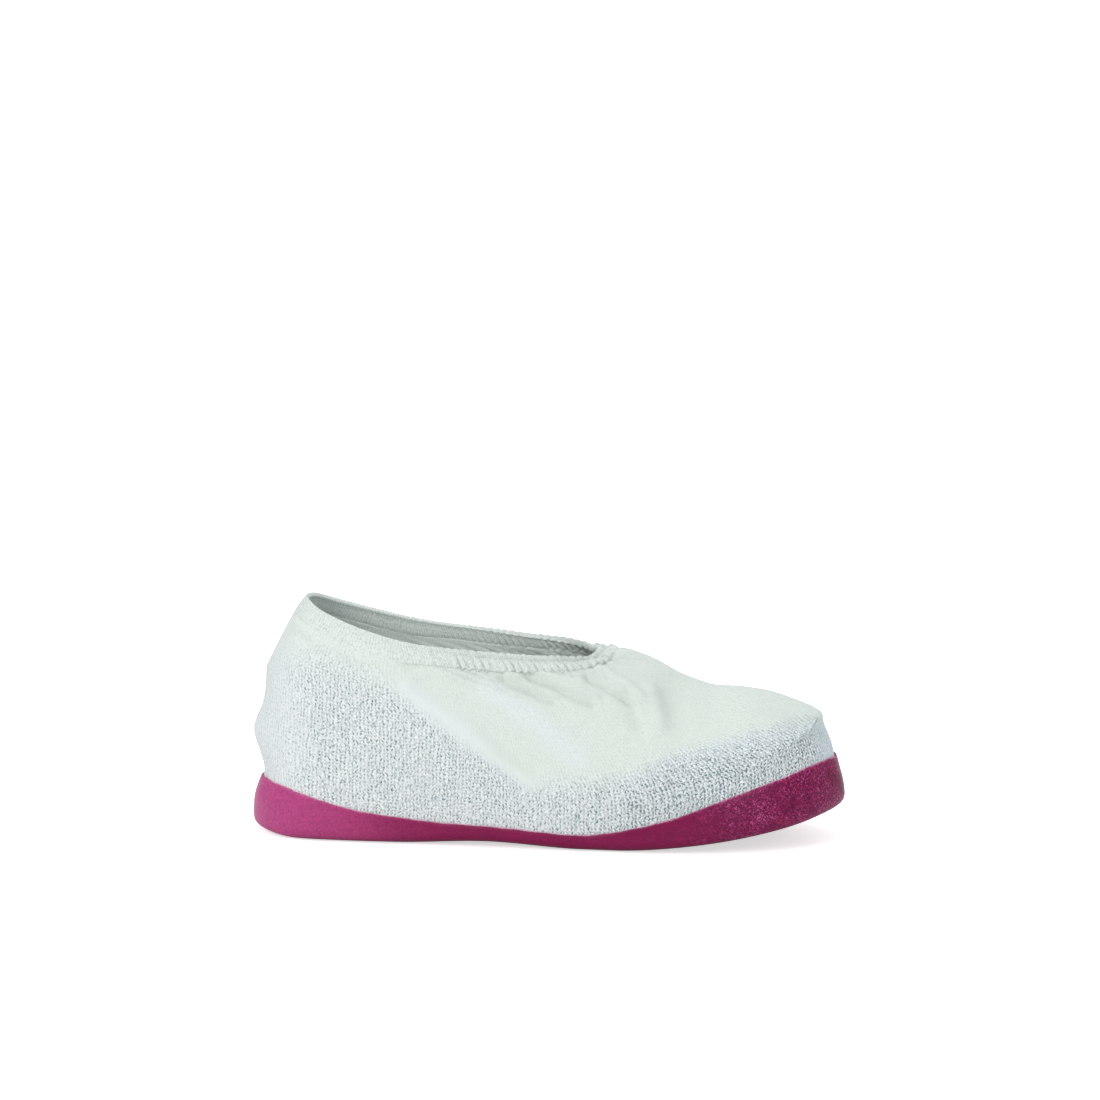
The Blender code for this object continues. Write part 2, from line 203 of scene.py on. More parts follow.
def endShift(points):  # how far the heel is drawn in above the rubber's edge, and the toe pushed out
    total = 0.0
    for depth, height, width, start, span in (formSettings["heelTuck"], formSettings["toePush"]):
        here = smooth((points[..., 0] - start) / span)
        total = total + depth * here * np.exp(-(((points[..., 2] - height) / width) ** 2))
    return total


def outward(u, level):
    low, high = np.maximum(keel, level - nudge), np.minimum(rim, level + nudge)
    around = surface(u + nudge, level) - surface(u - nudge, level)
    normal = np.cross(around, surface(u, high) - surface(u, low))
    return normal / np.maximum(np.linalg.norm(normal, axis=-1, keepdims=True), 1e-12)


# The camera stands as the photographer did
cameraSettings = {"at": (0.1287, -1.4716, 0.3105), "looksAt": (0.0004, 0.0138, 0.1467), "lens": 93.86}
cameraData = bpy.data.cameras.new("camera")
camera = bpy.data.objects.new("camera", cameraData)
scene.collection.objects.link(camera)
camera.location = cameraSettings["at"]
aim = Vector(cameraSettings["looksAt"]) - camera.location
camera.rotation_euler = aim.to_track_quat("-Z", "Y").to_euler()
cameraData.lens = cameraSettings["lens"]
cameraData.sensor_width = 36
scene.camera = camera

# Seeded, so that the gathers and the slack are the same in every run
generator = np.random.default_rng(7)


def deselectAll():
    if bpy.context.object and bpy.context.object.mode != "OBJECT":
        bpy.ops.object.mode_set(mode="OBJECT")
    bpy.ops.object.select_all(action="DESELECT")


def clothGrid(name, points, uvs):  # a grid laid on a surface: its rows go up and its columns go round
    rows, cols = points.shape[:2]
    deselectAll()
    bpy.ops.mesh.primitive_grid_add(x_subdivisions=cols - 1, y_subdivisions=rows - 1, size=1)
    piece = bpy.context.object
    piece.name = name
    mesh = piece.data
    mesh.name = name
    mesh.vertices.foreach_set("co", points.reshape(-1))
    corners = np.empty(len(mesh.loops), int)
    mesh.loops.foreach_get("vertex_index", corners)
    mesh.uv_layers[0].data.foreach_set("uv", uvs.reshape(-1, 2)[corners].reshape(-1))
    mesh.update()
    return piece


def closeSeams(piece, distance=0.02 * mm):
    bpy.ops.object.mode_set(mode="EDIT")
    bpy.ops.mesh.select_all(action="SELECT")
    bpy.ops.mesh.remove_doubles(threshold=distance)
    bpy.ops.mesh.dissolve_degenerate(threshold=1e-6)
    bpy.ops.mesh.normals_make_consistent(inside=False)
    bpy.ops.object.mode_set(mode="OBJECT")
    bpy.ops.object.shade_smooth()


def applyAll(piece):
    bpy.context.view_layer.objects.active = piece
    for modifier in list(piece.modifiers):
        bpy.ops.object.modifier_apply(modifier=modifier.name)


# The form is moved so that the middle of its sole is the middle of the sole's node
fineU = np.linspace(0, 1, 667)[:-1]
soleReach = formSettings["gap"] + formSettings["rubberSide"]
soleSkin = surface(fineU, side) + outward(fineU, np.full_like(fineU, side)) * soleReach
soleBox = np.array([list(corner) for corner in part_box("sole")])
formShift = (soleBox.sum(axis=0) - soleSkin.min(axis=0) - soleSkin.max(axis=0)) / 2 * (1, 1, 0)
print("overshoe: form shift", formShift)

upperSettings = {
    "columns": 420,
    "rowsUnder": 8,
    "rowsEdge": 5,
    "rowsDip": 5,
    "rowsSide": 42,
    "rowsCrown": 50,
    "thickness": 1.5 * mm,
    "slackWaves": 7,
    "slackDepth": 0.2 * mm,
    "gatherDepth": 0.45 * mm,  # of the hem's gathers, just below the seam
    "gatherReach": 3.5 * mm,
    "pleatLean": 2.6,  # how far forward the pleats run for each step down
    "pleatDepth": 1.15 * mm,
    "pleatReach": 13 * mm,
    "foldStart": (0.5 * mm, 3 * mm),  # above the rubber: where the folds start, and how far that takes
    "hemHeight": 10.5 * mm,  # from the seam up to the rim
    "wales": 340,  # columns of stitches round the side
    "course": 1.85 * mm,  # height of a row of stitches
    # Folds, as the outer side shows them: points are (x, z), then half width and height, all in mm
    "folds": (
        ((-69, 80), (-51, 68), (-30, 53), (-4, 35), 5.0, 2.0),
        ((-26, 79), (-1, 64), (18, 48), (31, 39), 6.5, 2.4),
        ((-60, 82), (-31, 64), (-2, 40), 4.5, -2.0),
        ((-92, 84), (-75, 70), (-50, 50), (-22, 32), 8.0, -0.8),
        ((-69, 92), (-55, 84), (-41, 76), 5.0, -1.3),
        ((-20, 86), (-7, 80), (6, 75.5), 1.7, -2.6),
        ((-17, 89), (-5, 84), (9, 79), 1.9, 1.9),
        ((-6, 87), (13, 80), (25, 75), 1.7, -2.8),
        ((-1, 89), (15, 84), (28, 78), 2.0, 2.0),
        ((24, 86), (33, 82), (46, 75), 1.9, -2.9),
        ((30, 90), (43, 84), (52, 78), 2.6, 1.6),
        ((57, 82), (62, 66), 4.0, 2.2),
        ((44, 77), (51, 62), 4.2, -2.0),
        ((66, 80), (76, 56), 8.5, -1.0),
        ((45, 0, 88), (92, 0, 75), 16.0, 2.4),
        ((-128, 111), (-116, 103), (-104, 98), (-72, 92), 3.0, 0.8),
        ((-126, 105), (-117, 99), (-98, 93), 3.2, -1.4),
        ((132, -20, 63), (139, -15, 60), (144, -11, 53), 6.2, -2.0),
        ((120, -28, 63), (131, -19, 67), (140, -5, 66.5), 4.6, 0.9),
        ((116, 0, 68), (126, 0, 67), (132, 0, 65.5), 10.0, 1.3),
        ((-155, 54), (-152, 54), 11.0, 5.0),
    ),
    "innerFolds": (
        ((-77, 88), (3, 25), 8.8, 1.4),
        ((0, 86), (22, 76), 4.8, -1.2),
        ((30, 82), (48, 70), 4.0, 1.0),
    ),
    # The stitches, with their relief and their painted highlights and shade, show strongly below this line,
    # on the shaded side, and faintly above it, where the cloth is pulled smooth and in bright light
    "showLine": (
        (-155, 104), (-130, 98), (-100, 90), (-69, 78), (-51, 66), (-30, 51), (-4, 34),
        (20, 35), (39, 37), (54, 43), (64, 48), (91, 55), (124, 62), (155, 64),
    ),
    "showFaint": 0.15,
    "showHeel": (0.4, 1.0, -140 * mm, 30 * mm),  # before, after, where it changes and how far that takes
    "showToe": (1.0, 0.35, 132 * mm, 12 * mm),
    # painted shade low on the forefoot, as heavier pits
    "showForeShade": (1.6, 60 * mm, 16 * mm),  # low on the forefoot: strength, and its reach along and up
    # painted highlight along the longest fold, made by hiding the stitches' painted shade there
    "bareFoldHighlight": (0.92, 5.5 * mm),  # how much the longest fold hides the stitches, and how far beside it
    # painted cool light on the two long folds
    "coolFoldLight": (0.8, 6 * mm),  # how cool the two long folds are, and how far beside them
    "showReach": (34 * mm, 14 * mm),  # of the change across that line, at the heel and further forward
    "vampDip": ((74, 78), (84, 78), 18.0, -7.6),
}


def seamLevel(u, below):  # the level this far down from the rim
    levels = np.linspace(rim, crown, 121)
    line = surface(u[:, None], levels[None, :])
    gone = np.cumsum(np.linalg.norm(np.diff(line, axis=1), axis=-1), axis=1)
    gone = np.concatenate([np.zeros((len(u), 1)), gone], axis=1)
    return np.array([np.interp(below, gone[k], levels) for k in range(len(u))])


def waleCount(u):  # columns of stitches counted from the heel, evenly by length round the side
    fine = np.linspace(0, 1, 1401)
    line = surface(fine, side + 0.6)
    gone = np.concatenate([[0], np.cumsum(np.linalg.norm(np.diff(line, axis=0), axis=-1))])
    return np.interp(u, fine, gone / gone[-1]) * upperSettings["wales"]


def pathDistance(points, path):
    best = np.full(points.shape[:-1], 1e9)
    for start, end in zip(path, path[1:]):
        run = end - start
        share = np.clip(((points - start) @ run) / max(run @ run, 1e-12), 0, 1)
        best = np.minimum(best, np.linalg.norm(points - start - share[..., None] * run, axis=-1))
    return best


def onSkin(points, spot, here):  # the point of the knit nearest to a spot given as (x, z) or (x, y, z)
    axes = (0, 2) if len(spot) == 2 else (0, 1, 2)
    miss = np.linalg.norm(points[..., axes] - np.array(spot) * mm, axis=-1) + np.where(here, 0, 1)
    return points.reshape(-1, 3)[np.argmin(miss)]


def nearFold(points, path, width):  # 1 along an outer fold, fading to 0 beside it
    spots = [onSkin(points, spot, points[..., 1] < 0) for spot in path]
    return np.exp(-((pathDistance(points, spots) / width) ** 2))


def foldRelief(points):  # how far the folds push the knit outwards
    total = np.zeros(points.shape[:-1])
    for hand, folds in ((-1, upperSettings["folds"]), (1, upperSettings["innerFolds"])):
        here = points[..., 1] * hand > -2 * mm
        for *path, width, height in folds:
            spots = [onSkin(points, spot, here) for spot in path]
            away = pathDistance(points, spots) / (width * mm)
            total += height * mm * np.exp(-away * away)
    *path, width, height = upperSettings["vampDip"]
    flatPoints = points * np.array([1, 0, 1])
    away = pathDistance(flatPoints, [np.array([x * mm, 0, z * mm]) for x, z in path]) / (width * mm)
    return total + height * mm * np.exp(-away * away)


hemSettings = {
    "columns": 736,
    "gatherPitch": 3.9 * mm,
    "pleatPitch": 9.5 * mm,
    "gatherDepth": 0.6 * mm,
    "bulgeUnit": 0.62 * mm,
    "frill": (0.8 * mm, 0.15 * mm),  # how far the gathers move the lower edge and the ridge up and down
    "topShare": 0.88,  # of the form's height, to which the rim reaches
    "heelShare": 0.08,
    "heelBulge": 0.7,  # of the plain band round the heel
    # how strongly the hem's stitches, with their relief and their painted highlights and shade, show
    "stitchReliefAndShade": 0.45,
    "smoothTo": -88 * mm,  # along the foot, where the gathers start
    "fade": 62 * mm,
    # The section from the seam up and back down inside: level share, bulge out and gather share
    "section": (
        (-0.13, -0.4, 0.2), (-0.12, 0.9, 0.7), (-0.05, 2.0, 1.0), (0.06, 2.3, 1.15), (0.18, 2.2, 1.2),
        (0.30, 1.8, 1.0), (0.40, 1.0, 0.7), (0.47, 0.1, 0.4), (0.52, -0.4, 0.25), (0.57, 0.1, 0.3),
        (0.64, 1.1, 0.35), (0.73, 1.9, 0.45), (0.82, 2.1, 0.45), (0.90, 1.9, 0.45), (0.96, 1.3, 0.4),
        (1.00, 0.3, 0.3), (1.01, -0.9, 0.3), (0.99, -2.1, 0.3), (0.94, -2.9, 0.4), (0.84, -3.3, 0.5),
        (0.72, -3.1, 0.4), (0.58, -2.5, 0.2), (0.44, -2.9, 0.4), (0.28, -3.1, 0.5), (0.14, -3.0, 0.4),
        (0.04, -2.6, 0.2), (-0.03, -1.4, 0.1),
    ),
}


def gatherShare(u):
    ahead = smooth((column(u)["rimX"] - hemSettings["smoothTo"]) / hemSettings["fade"])
    return mix(hemSettings["heelShare"], 1.0, ahead)


rimFine = np.linspace(0, 1, 1401)
rimLine = surface(rimFine, rim)
rimLength = np.concatenate([[0], np.cumsum(np.linalg.norm(np.diff(rimLine, axis=0), axis=-1))])


def rimRun(u):  # length along the opening's rim, from the heel round by the outer side
    return np.interp(u, rimFine, rimLength)


def wavePlan(counts):
    return [(count, generator.uniform(0.6, 1.0), generator.uniform(0, 1)) for count in counts]


gatherSlips, gatherStrengths, pleatSlips, pleatStrengths = (
    wavePlan(counts) for counts in ((3, 5, 8, 13, 21), (7, 11, 17, 29), (2, 4, 7, 9), (5, 8, 13))
)


def rimWave(run, pitch, slips, strengths):  # pleats round the opening, uneven in pitch and strength
    share = run / rimLength[-1]
    slip = sum(size * np.sin(2 * math.pi * (count * share + start)) / count for count, size, start in slips)
    strength = sum(size * np.sin(2 * math.pi * (count * share + start)) for count, size, start in strengths)
    count = round(rimLength[-1] / pitch)
    wave = 2 * np.abs(np.sin(math.pi * (count * share + 1.1 * slip))) ** 0.8 - 1
    return wave * (1 + 0.3 * strength)


def gatherWave(run):
    return rimWave(run, hemSettings["gatherPitch"], gatherSlips, gatherStrengths)


def pleatWave(run):
    return rimWave(run, hemSettings["pleatPitch"], pleatSlips, pleatStrengths)


def makeUpper():
    s = upperSettings
    u = np.linspace(0, 1, s["columns"] + 1)
    dips, seams = dipLevel(u), seamLevel(u, s["hemHeight"])
    rows = [np.full_like(u, level) for level in np.linspace(keel, edge, s["rowsUnder"])[:-1]]
    rows += [np.full_like(u, level) for level in np.linspace(edge, side, s["rowsEdge"])[:-1]]
    rows += [mix(side, dips, k / s["rowsDip"]) for k in range(s["rowsDip"])]
    rows += [mix(dips, crown, k / s["rowsSide"]) for k in range(s["rowsSide"])]
    rows += [mix(crown, seams, k / s["rowsCrown"]) for k in range(s["rowsCrown"] + 1)]
    levels = np.array(rows)
    us = np.broadcast_to(u, levels.shape)
    base = surface(us, levels)
    normals = outward(us, levels)
    normals[levels <= edge] = (0, 0, 1)
    # The folds end just above the rubber
    start, span = s["foldStart"]
    depth = foldRelief(base) * smooth((base[..., 2] - column(u)["dip"] - start) / span)
    depth[levels <= edge] = 0.0
    # The hem's gathers and pleats run on into the knit below it
    steps = np.linalg.norm(np.diff(base, axis=0), axis=-1)
    climbed = np.concatenate([np.zeros((1, len(u))), np.cumsum(steps, axis=0)])
    below = climbed[-1] - climbed
    close = np.exp(-((below / s["gatherReach"]) ** 1.4))
    depth += s["gatherDepth"] * gatherWave(rimRun(u)) * gatherShare(u) * close
    drift = rimRun(u) - s["pleatLean"] * below * np.sin(2 * math.pi * u)
    fade = smooth((below + 0.3 * mm) / (5 * mm)) * np.exp(-((below / s["pleatReach"]) ** 1.6))
    depth += s["pleatDepth"] * pleatWave(drift) * gatherShare(u) * fade
    slack = np.zeros_like(depth)
    for _ in range(s["slackWaves"]):
        around, up = generator.integers(2, 9), generator.uniform(0.3, 1.4)
        slack += np.sin(2 * math.pi * (around * us + up * levels + generator.uniform(0, 1)))
    depth += s["slackDepth"] * slack * smooth(levels - side)
    points = base + normals * depth[..., None] + formShift
    points[..., 0] += endShift(base)
    heights = climbed - climbed[s["rowsUnder"] + s["rowsEdge"] + s["rowsDip"] - 2]
    uvs = np.stack((np.broadcast_to(waleCount(u), us.shape), heights / s["course"]), axis=-1)
    piece = clothGrid("knit_upper", points, uvs)
    # How much the stitches and their painted highlights and shade show, and where the cloth gets a painted
    # cool tint: of shade low on the sides, and of light along two folds
    along = base[..., 0]
    under = np.interp(along / mm, *np.array(s["showLine"]).T) * mm - base[..., 2]
    coolLight = smooth(under / mix(*s["showReach"], smooth((along + 105 * mm) / (50 * mm))) + 0.5)
    showAndShade = mix(s["showFaint"], 1.0, coolLight)
    for before, after, start, span in (s["showHeel"], s["showToe"]):
        showAndShade *= mix(before, after, smooth((along - start) / span))
    # painted shade low on the forefoot: the pits there are made heavier
    strength, ahead, up = s["showForeShade"]
    showAndShade *= mix(1.0, strength, smooth(along / ahead) * smooth(under / up))
    # painted highlight along the longest fold: the stitches' painted shade is hidden there
    share, reach = s["bareFoldHighlight"]
    showAndShade *= 1 - share * nearFold(base, s["folds"][0][:-2], reach)
    # painted cool light along the two long folds
    share, reach = s["coolFoldLight"]
    for fold in s["folds"][:2]:
        coolLight = np.maximum(coolLight, share * nearFold(base, fold[:3], reach))
    for name, values in (("stitchReliefAndShade", showAndShade), ("coolLightShare", coolLight)):
        piece.data.attributes.new(name, "FLOAT", "POINT").data.foreach_set("value", values.reshape(-1))
    closeSeams(piece)
    shell = piece.modifiers.new("thickness", "SOLIDIFY")
    shell.thickness = s["thickness"]
    shell.offset = -1
    applyAll(piece)
    return piece


def makeHem():
    s = hemSettings
    u = np.interp(np.linspace(0, rimLength[-1], s["columns"] + 1), rimLength, rimFine)
    seams = seamLevel(u, upperSettings["hemHeight"])
    section = np.array(s["section"] + s["section"][:1])
    share, bulge, gather = section.T
    share = share * s["topShare"]
    levels = np.minimum(mix(seams[None, :], rim, share[:, None]), rim)
    over = np.maximum(0, share - 1) * upperSettings["hemHeight"]
    us = np.broadcast_to(u, levels.shape)
    base = surface(us, levels)
    normals = outward(us, np.minimum(levels, rim - 0.002))
    calm = gatherShare(u)[None, :]
    wave = gatherWave(rimRun(u))[None, :] * calm
    outside = (np.arange(len(share)) > 0) & (np.arange(len(share)) < 15)
    plain = np.where(outside, s["heelBulge"], bulge)
    depth = mix(plain[:, None], bulge[:, None], calm) * s["bulgeUnit"]
    depth = depth + s["gatherDepth"] * gather[:, None] * wave
    points = base + normals * depth[..., None] + formShift
    lower, upper = s["frill"]
    points[..., 2] += over[:, None] + upper * (share > 0.6)[:, None] * wave
    points[..., 2] += np.where(share[:, None] < 0.2, lower * wave, 0.0)
    hemHeight = upperSettings["hemHeight"] / mm
    run = np.concatenate([[0], np.cumsum(np.hypot(np.diff(share) * hemHeight, np.diff(bulge)))])
    heights = np.broadcast_to(run[:, None], levels.shape) * mm
    uvs = np.stack((np.broadcast_to(waleCount(u), us.shape), heights / upperSettings["course"]), axis=-1)
    piece = clothGrid("gathered_hem", points, uvs)
    shows = piece.data.attributes.new("stitchReliefAndShade", "FLOAT", "POINT")
    shows.data.foreach_set("value", np.full(points.shape[0] * points.shape[1], s["stitchReliefAndShade"]))
    closeSeams(piece)
    return piece


soleSettings = {
    "columns": 333,
    "cellPitch": 6.9 * mm,
    "cellCounts": (18, 28),  # across the foot, and pairs of rows along it
    "margin": 2.5 * mm,
    # The rib's section, from its middle line in to the cell's floor: inset and depth, in mm
    "rib": ((0.30, 0.02), (0.55, 0.12), (0.75, 0.42), (0.95, 0.78), (1.30, 0.90)),
    # The rubber's section from its thin edge down: share of the side's height, and thickness in mm
    "lip": (
        (1.0, 0.55), (0.985, 0.85), (0.96, 1.0), (0.90, 1.15), (0.80, 1.3), (0.65, 1.45),
        (0.5, 1.6), (0.35, 1.6), (0.2, 1.6), (0.08, 1.6), (0.0, 1.6),
    ),
    "edgeLevels": (0.8, 0.6, 0.4, 0.2),
    "dipWaves": ((0.12 * mm, 23, 0.4), (0.10 * mm, 61, 0.0)),  # depth, count and start
    "thinRows": (0.6, 0.9, 0.45, 0.1),  # how thin the film is, from the row above the lip down
}


def insideOutline(points, outline):
    found = np.zeros(len(points), bool)
    for a, b in zip(outline, np.roll(outline, -1, axis=0)):
        crosses = (a[1] > points[:, 1]) != (b[1] > points[:, 1])
        if b[1] != a[1]:
            at = a[0] + (points[:, 1] - a[1]) / (b[1] - a[1]) * (b[0] - a[0])
            found ^= crosses & (points[:, 0] < at)
    return found


def makeTread(outline, us):
    # One cell of the honeycomb, repeated, kept where it is whole, and filled in up to the outline
    s = soleSettings
    pitch, radius = s["cellPitch"], s["cellPitch"] / math.sqrt(3)
    deselectAll()
    upright = (0, 0, math.pi / 6)
    bpy.ops.mesh.primitive_circle_add(vertices=6, radius=radius, fill_type="NGON", rotation=upright)
    piece = bpy.context.object
    piece.name = "tread"
    bpy.ops.object.transform_apply(location=True, rotation=True, scale=True)
    bpy.ops.object.mode_set(mode="EDIT")
    bpy.ops.mesh.select_all(action="SELECT")
    before, sunk = 0.0, 0.0
    for inset, depth in s["rib"]:
        bpy.ops.mesh.inset(thickness=(inset - before) * mm, depth=0)
        bpy.ops.transform.translate(value=(0, 0, (depth - sunk) * mm))
        before, sunk = inset, depth
    bpy.ops.mesh.poke()
    bpy.ops.object.mode_set(mode="OBJECT")
    cell = np.array([v.co for v in piece.data.vertices])
    turn = np.arctan2(cell[:, 1], cell[:, 0])
    corner = turn[np.argmax(np.hypot(cell[:, 0], cell[:, 1]))] % (math.pi / 3)
    rowPitch = pitch * math.sqrt(3) / 2
    acrossAxis, alongAxis = (1, 0) if corner < 0.1 or corner > 0.95 else (0, 1)
    twin = piece.modifiers.new("stagger", "ARRAY")
    twin.use_relative_offset = False
    twin.use_constant_offset = True
    twin.count = 2
    offset = [0.0, 0.0, 0.0]
    offset[alongAxis], offset[acrossAxis] = rowPitch, pitch / 2
    twin.constant_offset_displace = offset
    across, pairs = s["cellCounts"]
    for axis, step, count in ((acrossAxis, pitch, across), (alongAxis, rowPitch * 2, pairs)):
        spread = piece.modifiers.new("spread", "ARRAY")
        spread.use_relative_offset = False
        spread.use_constant_offset = True
        spread.count = count
        offset = [0.0, 0.0, 0.0]
        offset[axis] = step
        spread.constant_offset_displace = offset
    applyAll(piece)
    mesh = piece.data
    perCell = len(cell)
    co = np.array([v.co for v in mesh.vertices])
    co[:, 0] -= pairs * rowPitch
    co[:, 1] -= (across - 1) / 2 * pitch
    mesh.vertices.foreach_set("co", co.reshape(-1))
    inner = outline - s["margin"] * np.stack(planNormal(us), axis=-1)
    keep = insideOutline(co[:, :2], inner).reshape(-1, perCell).all(axis=1)
    drop = ~np.repeat(keep, perCell)
    bm = bmesh.new()
    bm.from_mesh(mesh)
    bm.verts.ensure_lookup_table()
    bmesh.ops.delete(bm, geom=[bm.verts[k] for k in np.flatnonzero(drop)], context="VERTS")
    bmesh.ops.remove_doubles(bm, verts=bm.verts, dist=0.02 * mm)
    ring = [bm.verts.new((x, y, 0.0)) for x, y in outline]
    for a, b in zip(ring, ring[1:] + ring[:1]):
        bm.edges.new((a, b))
    border = [e for e in bm.edges if len(e.link_faces) < 2]
    bmesh.ops.triangle_fill(bm, edges=border, use_beauty=True, use_dissolve=False)
    for v in bm.verts:
        v.co.z += float(lift(v.co.x))
    bm.to_mesh(mesh)
    bm.free()
    return piece


def makeSole():
    s, f = soleSettings, formSettings
    u = np.linspace(0, 1, s["columns"] + 1)
    dips = dipLevel(u)
    wave = sum(size * np.sin(2 * math.pi * (count * u + start)) for size, count, start in s["dipWaves"])
    spans = np.linalg.norm(surface(u, dips + 0.02) - surface(u, dips - 0.02), axis=-1) / 0.04
    dips = np.maximum(dips + wave / spans, side + 0.02)
    rows = [(np.full_like(u, level), f["gap"]) for level in np.linspace(keel, edge, 6)[:-1]]
    rows += [(np.full_like(u, level), f["gap"]) for level in np.linspace(edge, side, 4)[:-1]]
    rows += [(mix(side, dips, k / 3), f["gap"]) for k in range(4)]
    lipRow = len(rows)
    rows += [(mix(side, dips, share), f["gap"] + thick * mm) for share, thick in s["lip"]]
    for t in s["edgeLevels"]:
        rows.append((np.full_like(u, edge + t), f["gap"] + mix(f["rubberBottom"], f["rubberSide"], t)))
    grid = []
    for level, offset in rows:
        base = surface(u, level)
        out = outward(u, level)
        flat = level <= edge
        out[flat] = (0, 0, -1)
        grid.append(base + out * offset)
    base = surface(u, np.full_like(u, edge))
    foot = np.stack((base[:, 0], base[:, 1], lift(base[:, 0])), axis=-1)
    grid.append(foot)
    points = np.array(grid)
    points[..., 0] += endShift(points)
    steps = np.linalg.norm(np.diff(points, axis=0), axis=-1)
    climbed = np.concatenate([np.zeros((1, len(u))), np.cumsum(steps, axis=0)])
    around = np.broadcast_to(u, climbed.shape) * upperSettings["wales"]
    uvs = np.stack((around, climbed / upperSettings["course"]), axis=-1)
    piece = clothGrid("dipped_sole", points + formShift, uvs)
    thin = np.zeros(climbed.shape)
    thin[lipRow - 1 : lipRow - 1 + len(s["thinRows"])] = np.array(s["thinRows"])[:, None]
    piece.data.attributes.new("thinEdge", "FLOAT", "POINT").data.foreach_set("value", thin.reshape(-1))
    tread = makeTread(foot[:-1, :2], u[:-1])
    tread.data.transform(Matrix.Translation(Vector(formShift)))
    deselectAll()
    tread.select_set(True)
    piece.select_set(True)
    bpy.context.view_layer.objects.active = piece
    bpy.ops.object.join()
    closeSeams(piece)
    return piece


def nodeTree(name):
    material = bpy.data.materials.new(name)
    material.use_nodes = True
    return material, material.node_tree, material.node_tree.nodes["Principled BSDF"]


def addNode(tree, kind, links=(), **values):
    made = tree.nodes.new(kind)
    for key, value in values.items():
        if hasattr(made, key):
            setattr(made, key, value)
        else:
            made.inputs[key].default_value = value
    for socket, source in links:
        tree.links.new(source, made.inputs[socket])
    return made


def calc(tree, operation, a, b=None, c=None):
    made = tree.nodes.new("ShaderNodeMath")
    made.operation = operation
    for k, value in enumerate((a, b, c)):
        if value is None:
            continue
        if isinstance(value, (int, float)):
            made.inputs[k].default_value = value
        else:
            tree.links.new(value, made.inputs[k])
    return made.outputs[0]


def held(tree, value):  # between 0 and 1
    return addNode(tree, "ShaderNodeClamp", [(0, value)]).outputs[0]


def ramp(tree, value, start, end):  # smoothly from 0 at start to 1 at end
    made = addNode(tree, "ShaderNodeMapRange", [("Value", value)], interpolation_type="SMOOTHSTEP")
    made.inputs["From Min"].default_value = start
    made.inputs["From Max"].default_value = end
    return made.outputs[0]


def blend(tree, share, first, second):  # from the first colour to the second
    made = addNode(tree, "ShaderNodeMix", [(0, share)], data_type="RGBA")
    for k, colour in ((6, first), (7, second)):
        if isinstance(colour, tuple):
            made.inputs[k].default_value = colour
        else:
            tree.links.new(colour, made.inputs[k])
    return made.outputs[2]


def noise(tree, spot, scale, detail=2.0, distortion=0.0):
    values = {"Scale": scale, "Detail": detail, "Distortion": distortion}
    return addNode(tree, "ShaderNodeTexNoise", [("Vector", spot)], **values).outputs[0]


def attribute(tree, name):
    return addNode(tree, "ShaderNodeAttribute", attribute_name=name).outputs["Fac"]


def linear(red, green, blue):
    return tuple(((c / 255 + 0.055) / 1.055) ** 2.4 for c in (red, green, blue)) + (1.0,)


knitSettings = {
    "colour": linear(217, 225, 217),  # where the cloth is pulled smooth
    # painted cool shade low on the sides
    "coolLightColour": linear(224, 230, 230),  # low on the sides
    # painted cool shade low round the toe, darker and bluer
    "toeShadeColour": linear(206, 221, 226),  # low round the toe
    # painted highlight on the beads of the stitches
    "yarnHighlight": linear(250, 253, 253),
    # painted shade in the pits between the columns
    "pit": linear(114, 142, 148),
    "dye": linear(236, 190, 212),
    "roughness": 0.9,
    "stitchHeight": 0.6 * mm,
    "slip": 1.5,  # how far the stitch columns wander, in stitches
    "jitter": 0.44,  # how far a pit is off its place, in stitches
    "pitWidth": 0.30,
    "pitHeight": 0.36,
    "lean": 2.0,  # how far the pits lean where the cloth is pulled askew
    "slipScale": 230.0,
    "patchScale": 85.0,  # of places where the stitches show more or less
    "leanScale": 42.0,
    "speckScale": 1050.0,
    "speckDepth": 2.0,
    "fuzzScale": 1500.0,
    "fuzz": 0.3,
    "slant": 1.3,  # of the two arms of a stitch
    "sheen": 0.2,
    "sheenRoughness": 0.5,
    "toeFrom": (0.01, 0.10),  # where along the foot the low cloth turns to the toe's colour
    "dyeReach": (0.5, 0.15),  # in stitches from the dip line
}


